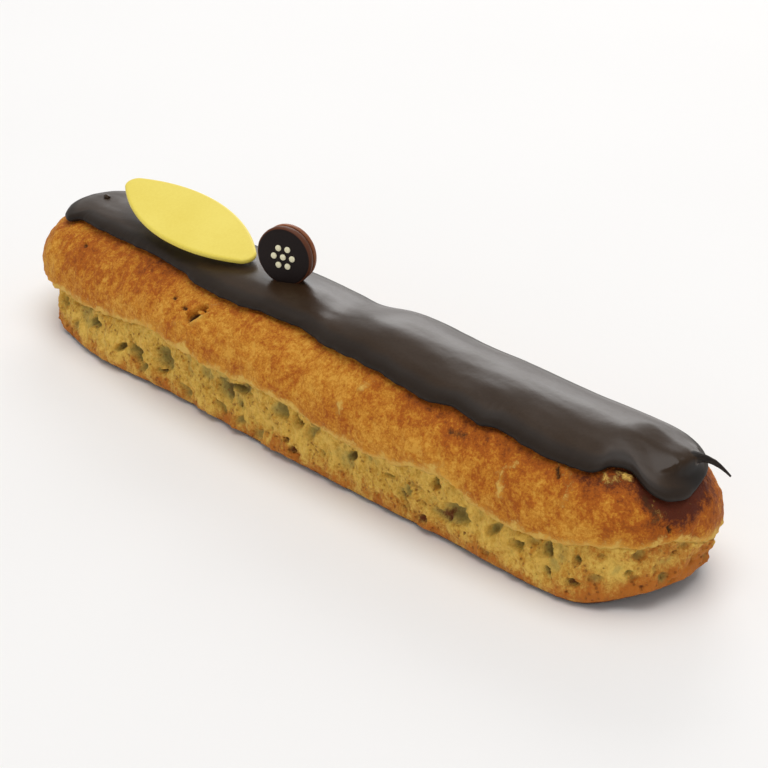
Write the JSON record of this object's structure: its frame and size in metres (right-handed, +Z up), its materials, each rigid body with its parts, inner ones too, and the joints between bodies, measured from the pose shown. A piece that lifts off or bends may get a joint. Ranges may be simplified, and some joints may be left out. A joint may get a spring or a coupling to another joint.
{
  "type": "chocolate eclair",
  "caption": "Whole chocolate eclair: a long choux finger with dark icing along its top, a leaf-shaped yellow plaque and a small round chocolate button.",
  "frame": {"origin": "middle of the flat foot that the eclair rests on, at mid length", "axes": "+X along the eclair, from the end with the plaque to the bare end; +Z up; the showing side faces -Y"},
  "size_m": [0.1552, 0.0321, 0.0347],
  "materials": {
    "choux": "baked choux pastry, mottled golden brown crust over a paler porous band",
    "icing": "dark chocolate icing with a soft satin shine",
    "plaque": "thin yellow coloured chocolate, satin",
    "button": "very dark chocolate, satin face with cream print",
    "button_back": "milk chocolate, satin"
  },
  "bodies": {
    "root": {"choux_shell": "choux", "chocolate_icing": "icing", "plaque": "plaque", "button_front": "button", "button_back": "button_back"}
  },
  "joints": []
}
